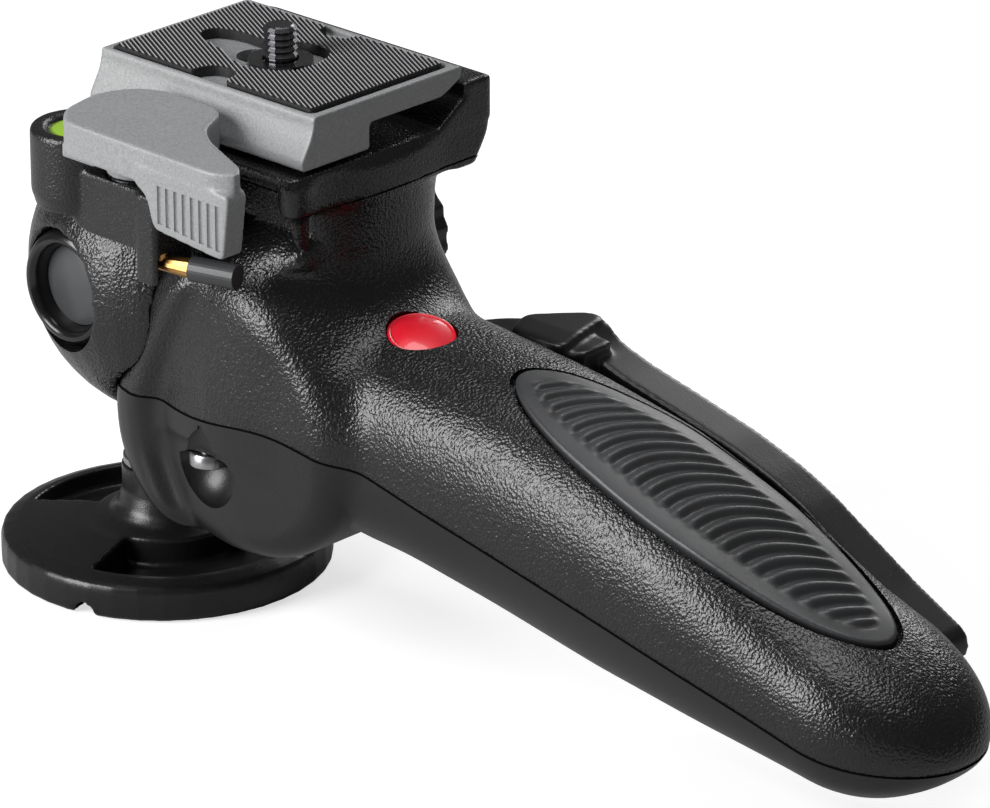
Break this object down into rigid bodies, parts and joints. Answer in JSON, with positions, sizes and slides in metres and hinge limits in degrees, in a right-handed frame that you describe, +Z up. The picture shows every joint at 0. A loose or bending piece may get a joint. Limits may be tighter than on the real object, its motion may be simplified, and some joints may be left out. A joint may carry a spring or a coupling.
{
  "type": "grip ball head",
  "caption": "Tripod ball head worked by a slanted pistol grip with a squeeze trigger, carrying a quick-release camera plate on a levelled platform.",
  "frame": {"origin": "centre of the base disc's underside, where the tripod's thread enters", "axes": "+X along the grip towards its free end, +Y towards the trigger, +Z up through the ball"},
  "size_m": [0.2205, 0.0751, 0.1106],
  "materials": {
    "cast_black": "black textured paint on a light alloy casting",
    "satin_black": "satin black fine-grained polymer",
    "cast_grey": "mid grey fine-grained paint on a light alloy casting",
    "rubber_black": "black rubber with fine diagonal ribs",
    "rubber_grey": "dark grey soft rubber with cross ribs",
    "steel": "bright turned steel",
    "dark_steel": "dark polished steel",
    "brass": "polished brass",
    "nylon": "natural white polymer",
    "red_enamel": "glossy red",
    "level_green": "clear yellow-green fluid under a clear cap",
    "plastic_grey": "dark grey polymer"
  },
  "bodies": {
    "base": {"base_disc": "cast_black", "tripod_bush": "steel", "base_stem": "steel"},
    "ball": {"steel_ball": "steel"},
    "brake": {"brake_cup": "nylon"},
    "head": {"rear_housing": "cast_black", "ball_seat": "nylon", "side_cap_near": "plastic_grey", "side_cap_far": "plastic_grey", "upper_shell": "cast_black", "lower_cover": "satin_black", "cover_screw_near": "steel", "cover_screw_far": "steel", "cover_screw_end": "steel", "spring_washer": "steel", "trigger_pin": "steel", "dial_spindle": "steel", "palm_pad": "rubber_grey", "badge": "red_enamel", "platform": "cast_black", "platform_screw_near_1": "steel", "platform_screw_near_2": "steel", "platform_screw_far_1": "steel", "platform_screw_far_2": "steel", "level_vial": "level_green", "lever_pivot": "steel", "lever_spring": "dark_steel"},
    "rod": {"pull_rod": "steel", "brake_spring": "dark_steel"},
    "trigger": {"trigger_lever": "satin_black"},
    "dial": {"friction_dial": "cast_black"},
    "lever": {"lock_lever": "cast_grey"},
    "catch": {"catch_finger": "brass", "catch_sleeve": "plastic_grey"},
    "plate": {"quick_plate": "cast_grey", "plate_pad": "rubber_black", "screw_clip": "dark_steel"},
    "screw": {"camera_screw": "dark_steel"}
  },
  "joints": [
    {"name": "ball_pan", "type": "hinge", "parent": "base", "child": "ball", "pos_m": [0, 0, 0.056], "axis": [0, 0, 1], "continuous": true},
    {"name": "head_tilt", "type": "hinge", "parent": "ball", "child": "brake", "pos_m": [0, 0, 0.056], "axis": [0, 1, 0], "range_deg": [-85, 12]},
    {"name": "head_roll", "type": "hinge", "parent": "brake", "child": "head", "pos_m": [0, 0, 0.056], "axis": [1, 0, 0], "range_deg": [-12, 12]},
    {"name": "trigger_squeeze", "type": "hinge", "parent": "head", "child": "trigger", "pos_m": [0.062, -0.007, 0.056], "axis": [0, 0, -1], "range_deg": [0, 4], "stiffness_Nm_per_rad": 8},
    {"name": "rod_slide", "type": "slide", "parent": "head", "child": "rod", "axis": [1, 0, 0], "range_m": [0, 0.0005]},
    {"name": "dial_turn", "type": "hinge", "parent": "head", "child": "dial", "pos_m": [0.0315, 0.026, 0.066], "axis": [0, 1, 0], "range_deg": [-150, 150]},
    {"name": "lever_swing", "type": "hinge", "parent": "head", "child": "lever", "pos_m": [0.0254, -0.029, 0.096], "axis": [0, 0, -1], "range_deg": [0, 40], "stiffness_Nm_per_rad": 0.3},
    {"name": "catch_swing", "type": "hinge", "parent": "head", "child": "catch", "pos_m": [0.035, -0.033, 0.0763], "axis": [0, 0, -1], "range_deg": [0, 25], "stiffness_Nm_per_rad": 0.02},
    {"name": "plate_lift", "type": "slide", "parent": "head", "child": "plate", "axis": [0, 0, 1], "range_m": [0, 0.03]},
    {"name": "screw_turn", "type": "hinge", "parent": "plate", "child": "screw", "pos_m": [0.0313, 0, 0.1], "axis": [0, 0, 1], "continuous": true}
  ],
  "couplings": [
    {"joint": "rod_slide", "follows": "trigger_squeeze", "m_per_rad": 0.007}
  ]
}
